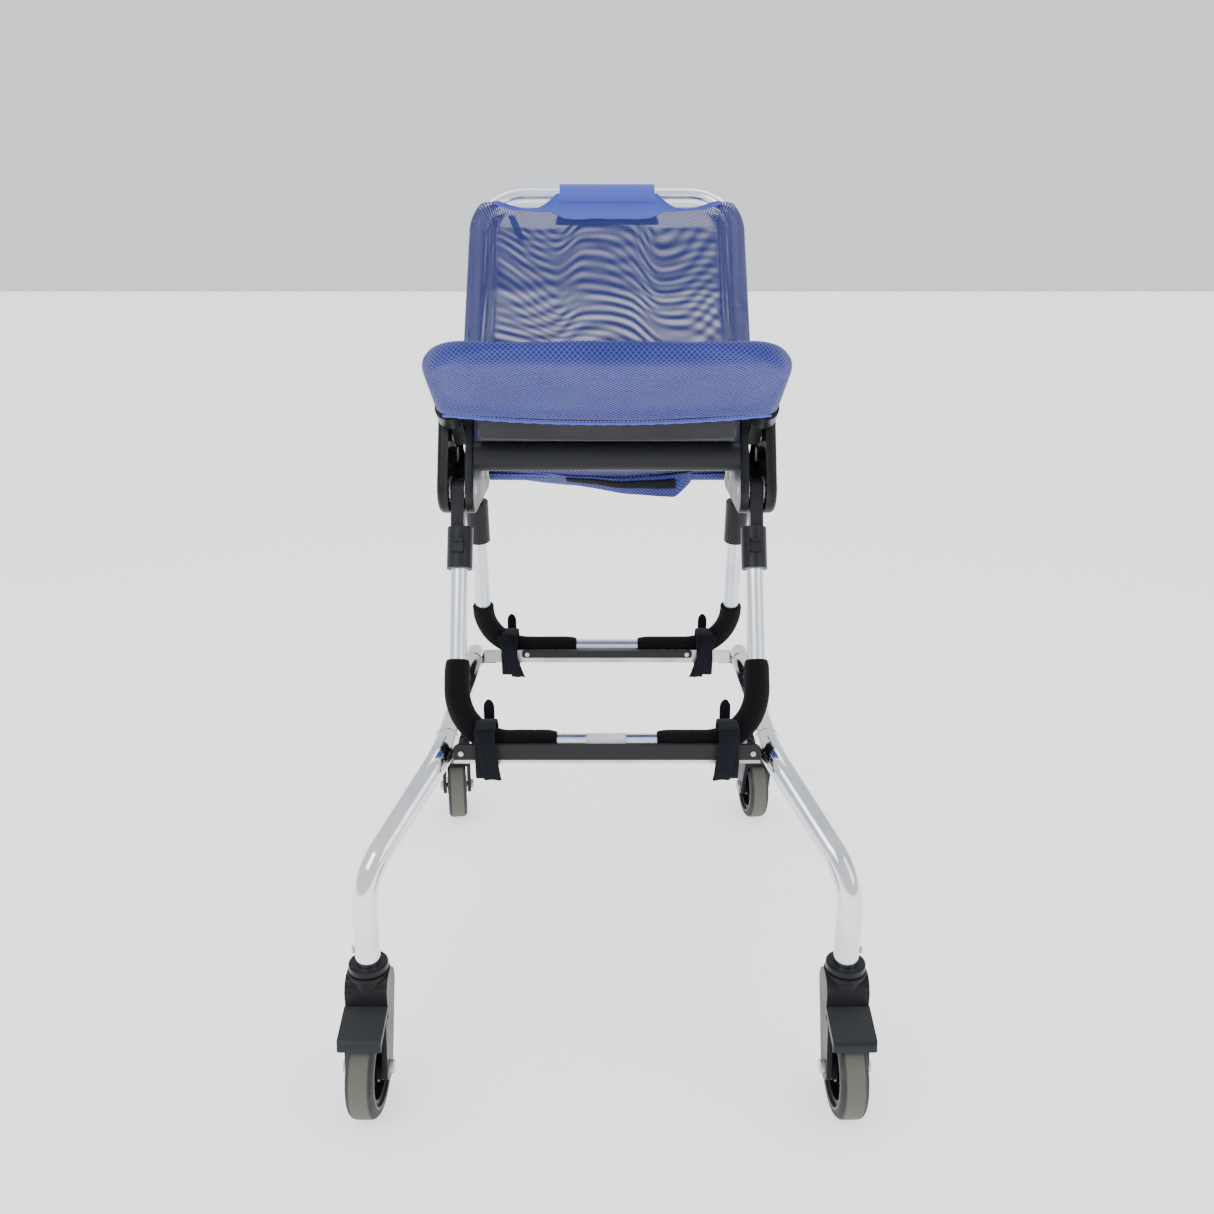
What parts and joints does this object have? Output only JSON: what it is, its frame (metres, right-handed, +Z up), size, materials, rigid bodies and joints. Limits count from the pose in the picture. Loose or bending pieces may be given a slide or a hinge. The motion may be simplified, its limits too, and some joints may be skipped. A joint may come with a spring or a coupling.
{
  "type": "child's bath and shower chair on a caster trolley",
  "caption": "Reclining mesh sling chair on folding U-shaped legs, strapped to a wheeled trolley frame with braked swivel casters.",
  "frame": {"origin": "on the floor, under the middle of the footprint", "axes": "+Z up, -Y to the front of the chair, +X to the right seen from the front"},
  "size_m": [0.5356, 0.726, 0.9279],
  "materials": {
    "tyre": "matt grey rubber",
    "caster_plastic": "moulded black plastic, fine grain",
    "zinc_steel": "zinc plated",
    "chrome_tube": "polished",
    "rail_metal": "satin",
    "rubber_strip": "matt",
    "bracket_metal": "dark satin",
    "webbing": "black hook-and-loop webbing",
    "foam": "black closed-cell foam",
    "aluminium_tube": "bright anodised",
    "mesh_fabric": "royal blue spacer mesh",
    "black_plastic": "satin moulded black plastic"
  },
  "bodies": {
    "trolley": {"side_tube_left": "chrome_tube", "side_tube_right": "chrome_tube", "front_rail": "rail_metal", "rear_rail": "rail_metal", "front_rail_strip": "rubber_strip", "rear_rail_strip": "rubber_strip", "rail_brackets": "bracket_metal", "trolley_screws_and_rivets": "zinc_steel", "stem_plugs": "black_plastic", "front_strap_left": "webbing", "front_strap_right": "webbing", "rear_strap_left": "webbing", "rear_strap_right": "webbing"},
    "chair": {"hub_outer_cover_left": "black_plastic", "hub_outer_cover_right": "black_plastic", "hub_inner_cover_left": "black_plastic", "hub_inner_cover_right": "black_plastic", "hub_pins_and_plates": "zinc_steel", "cross_bar": "black_plastic", "sling": "mesh_fabric"},
    "front_leg": {"front_leg_tube": "aluminium_tube", "front_foam_left": "foam", "front_foam_right": "foam", "front_knuckle_left": "black_plastic", "front_knuckle_right": "black_plastic"},
    "rear_leg": {"rear_leg_tube": "aluminium_tube", "rear_foam_left": "foam", "rear_foam_right": "foam", "rear_knuckle_left": "black_plastic", "rear_knuckle_right": "black_plastic"},
    "seat": {"seat_frame": "aluminium_tube", "seat_arms": "black_plastic", "seat_cover": "mesh_fabric"},
    "back": {"back_frame": "aluminium_tube", "back_arms": "black_plastic", "back_cover": "mesh_fabric"},
    "button_left": {"release_button_left": "black_plastic"},
    "catch_left": {"front_catch_left": "black_plastic"},
    "button_right": {"release_button_right": "black_plastic"},
    "catch_right": {"front_catch_right": "black_plastic"},
    "caster_front_left": {"front_left_housing": "caster_plastic", "front_left_axle": "zinc_steel"},
    "wheel_front_left": {"front_left_rim": "caster_plastic", "front_left_tyre": "tyre"},
    "pedal_front_left": {"front_left_pedal": "caster_plastic"},
    "caster_front_right": {"front_right_housing": "caster_plastic", "front_right_axle": "zinc_steel"},
    "wheel_front_right": {"front_right_rim": "caster_plastic", "front_right_tyre": "tyre"},
    "pedal_front_right": {"front_right_pedal": "caster_plastic"},
    "caster_rear_left": {"rear_left_housing": "caster_plastic", "rear_left_axle": "zinc_steel"},
    "wheel_rear_left": {"rear_left_rim": "caster_plastic", "rear_left_tyre": "tyre"},
    "pedal_rear_left": {"rear_left_pedal": "caster_plastic"},
    "caster_rear_right": {"rear_right_housing": "caster_plastic", "rear_right_axle": "zinc_steel"},
    "wheel_rear_right": {"rear_right_rim": "caster_plastic", "rear_right_tyre": "tyre"},
    "pedal_rear_right": {"rear_right_pedal": "caster_plastic"}
  },
  "joints": [
    {"name": "front_left_swivel", "type": "hinge", "parent": "trolley", "child": "caster_front_left", "pos_m": [-0.2415, -0.28775, 0.15], "axis": [0, 0, 1], "continuous": true},
    {"name": "front_left_roll", "type": "hinge", "parent": "caster_front_left", "child": "wheel_front_left", "pos_m": [-0.24215, -0.31274, 0.05], "axis": [0.9997, -0.0262, 0], "continuous": true},
    {"name": "front_left_brake", "type": "hinge", "parent": "caster_front_left", "child": "pedal_front_left", "pos_m": [-0.24221, -0.31474, 0.1058], "axis": [0.9997, -0.0262, 0], "range_deg": [0, 8]},
    {"name": "front_right_swivel", "type": "hinge", "parent": "trolley", "child": "caster_front_right", "pos_m": [0.2415, -0.28775, 0.15], "axis": [0, 0, 1], "continuous": true},
    {"name": "front_right_roll", "type": "hinge", "parent": "caster_front_right", "child": "wheel_front_right", "pos_m": [0.24215, -0.31274, 0.05], "axis": [0.9997, 0.0262, 0], "continuous": true},
    {"name": "front_right_brake", "type": "hinge", "parent": "caster_front_right", "child": "pedal_front_right", "pos_m": [0.24221, -0.31474, 0.1058], "axis": [0.9997, 0.0262, 0], "range_deg": [0, 8]},
    {"name": "rear_left_swivel", "type": "hinge", "parent": "trolley", "child": "caster_rear_left", "pos_m": [-0.231, 0.28775, 0.15], "axis": [0, 0, 1], "continuous": true},
    {"name": "rear_left_roll", "type": "hinge", "parent": "caster_rear_left", "child": "wheel_rear_left", "pos_m": [-0.23478, 0.31246, 0.05], "axis": [-0.9885, -0.1513, 0], "continuous": true},
    {"name": "rear_left_brake", "type": "hinge", "parent": "caster_rear_left", "child": "pedal_rear_left", "pos_m": [-0.23508, 0.31444, 0.1058], "axis": [-0.9885, -0.1513, 0], "range_deg": [0, 8]},
    {"name": "rear_right_swivel", "type": "hinge", "parent": "trolley", "child": "caster_rear_right", "pos_m": [0.231, 0.28775, 0.15], "axis": [0, 0, 1], "continuous": true},
    {"name": "rear_right_roll", "type": "hinge", "parent": "caster_rear_right", "child": "wheel_rear_right", "pos_m": [0.22808, 0.31258, 0.05], "axis": [-0.9932, -0.1167, 0], "continuous": true},
    {"name": "rear_right_brake", "type": "hinge", "parent": "caster_rear_right", "child": "pedal_rear_right", "pos_m": [0.22785, 0.31457, 0.1058], "axis": [-0.9932, -0.1167, 0], "range_deg": [0, 8]},
    {"name": "chair_lift", "type": "slide", "parent": "trolley", "child": "chair", "axis": [0, 0, 1], "range_m": [0, 0.12], "deforming": ["front_strap_left", "front_strap_right", "rear_strap_left", "rear_strap_right"]},
    {"name": "front_leg_fold", "type": "hinge", "parent": "chair", "child": "front_leg", "pos_m": [0, -0.05025, 0.592], "axis": [-1, 0, 0], "range_deg": [0, 75], "deforming": ["front_rail_strip"]},
    {"name": "rear_leg_fold", "type": "hinge", "parent": "chair", "child": "rear_leg", "pos_m": [0, 0.07575, 0.588], "axis": [1, 0, 0], "range_deg": [0, 50]},
    {"name": "seat_tilt", "type": "hinge", "parent": "chair", "child": "seat", "pos_m": [0, -0.00725, 0.648], "axis": [1, 0, 0], "range_deg": [-10, 18]},
    {"name": "back_recline", "type": "hinge", "parent": "chair", "child": "back", "pos_m": [0, 0.07575, 0.588], "axis": [1, 0, 0], "range_deg": [-38, 25]},
    {"name": "release_button_left", "type": "slide", "parent": "chair", "child": "button_left", "axis": [1, 0, 0], "range_m": [0, 0.003], "stiffness_N_per_m": 400, "springref_m": -0.002},
    {"name": "leg_catch_left", "type": "slide", "parent": "front_leg", "child": "catch_left", "axis": [0, 0.8944, -0.4473], "range_m": [0, 0.0015], "stiffness_N_per_m": 400, "springref_m": -0.002},
    {"name": "release_button_right", "type": "slide", "parent": "chair", "child": "button_right", "axis": [-1, 0, 0], "range_m": [0, 0.003], "stiffness_N_per_m": 400, "springref_m": -0.002},
    {"name": "leg_catch_right", "type": "slide", "parent": "front_leg", "child": "catch_right", "axis": [0, 0.8944, -0.4473], "range_m": [0, 0.0015], "stiffness_N_per_m": 400, "springref_m": -0.002}
  ]
}
